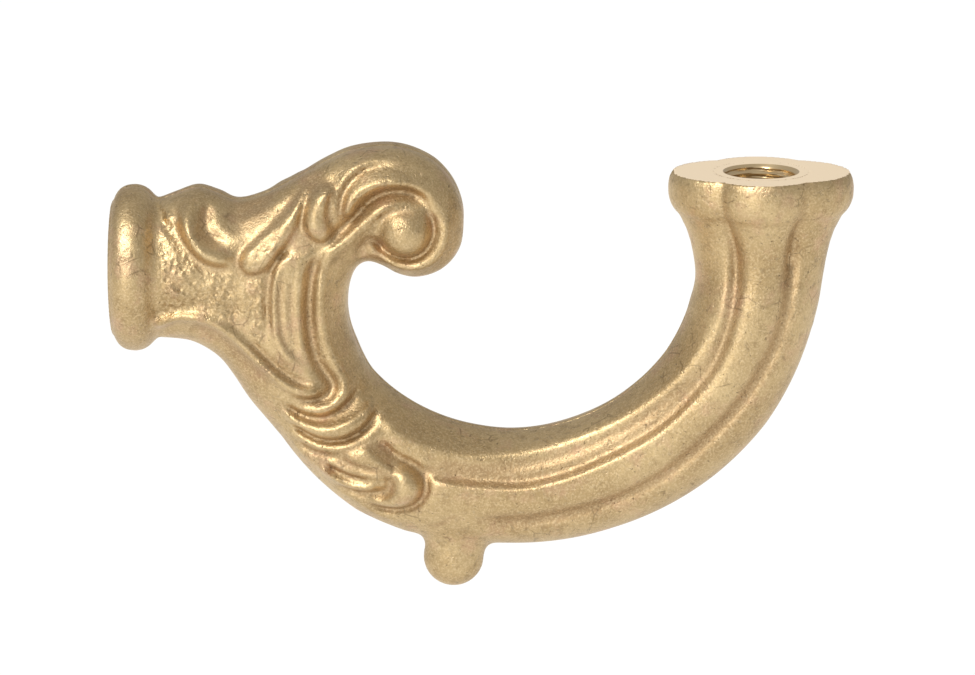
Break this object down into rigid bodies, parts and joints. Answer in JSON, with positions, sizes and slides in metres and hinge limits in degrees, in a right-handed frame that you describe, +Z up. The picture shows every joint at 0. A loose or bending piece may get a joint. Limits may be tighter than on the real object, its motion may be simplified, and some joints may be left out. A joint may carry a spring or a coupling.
{
  "type": "lamp arm",
  "caption": "Cast brass lamp arm with a scrolled leaf, a hollow crook for the wires and a tapped hole at each end.",
  "frame": {"origin": "centre of the tapped hole at the base's end face", "axes": "+X from the base along the arm's reach, +Z up along the cup's axis"},
  "size_m": [0.0991, 0.0224, 0.0615],
  "materials": {
    "cast_brass": "raw cast, satin, with fine pits",
    "turned_brass": "turned, bright"
  },
  "bodies": {
    "root": {"front_half": "cast_brass", "back_half": "cast_brass", "cup_bushing": "turned_brass", "base_bushing": "turned_brass", "locating_pins": "turned_brass"}
  },
  "joints": []
}
